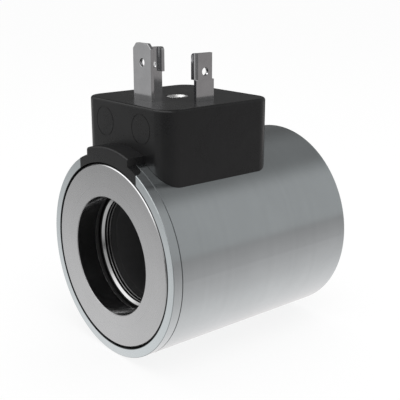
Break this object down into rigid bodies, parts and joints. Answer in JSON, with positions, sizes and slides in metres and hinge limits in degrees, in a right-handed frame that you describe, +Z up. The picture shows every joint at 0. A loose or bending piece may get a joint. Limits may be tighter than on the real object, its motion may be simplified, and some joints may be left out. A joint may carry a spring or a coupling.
{
  "type": "solenoid valve coil",
  "caption": "Round solenoid valve coil: steel casing with pole rings and bobbin bore, moulded plug base with two power blades, an earth blade and a screw insert.",
  "frame": {"origin": "on the bore axis at half the casing's length", "axes": "+Y along the bore from the front face to the rear face, +Z up from the bore to the contacts, +X to the right seen from the front"},
  "size_m": [0.045, 0.051, 0.0673],
  "materials": {
    "casing_steel": "fine brushed, zinc-nickel plated",
    "ring_steel": "satin, face turned flat",
    "seal_rubber": "matte black",
    "spacer_steel": "bright turned",
    "bobbin_plastic": "black, satin moulded",
    "winding_copper": "enamelled copper wire",
    "tape": "yellow polyester tape",
    "filling_resin": "black resin",
    "base_plastic": "black glass-filled plastic, satin",
    "insert_metal": "nickel-plated brass",
    "contact_metal": "tin-plated brass, smooth",
    "sleeve": "woven insulating sleeve",
    "solder": "bright soft solder"
  },
  "bodies": {
    "root": {"casing_tube": "casing_steel", "front_rim": "casing_steel", "front_pole_ring": "ring_steel", "rear_pole_ring": "ring_steel", "front_seal_ring": "seal_rubber", "rear_seal_ring": "seal_rubber", "front_spacer_ring": "spacer_steel", "rear_spacer_ring": "spacer_steel", "bobbin": "bobbin_plastic", "winding": "winding_copper", "winding_tape": "tape", "filling": "filling_resin", "connector_base": "base_plastic", "screw_insert": "insert_metal", "power_contact_left": "contact_metal", "power_contact_right": "contact_metal", "earth_contact": "contact_metal", "earth_strap": "contact_metal", "start_lead": "winding_copper", "finish_lead": "winding_copper", "start_sleeve": "sleeve", "finish_sleeve": "sleeve", "start_solder": "solder", "finish_solder": "solder"}
  },
  "joints": []
}
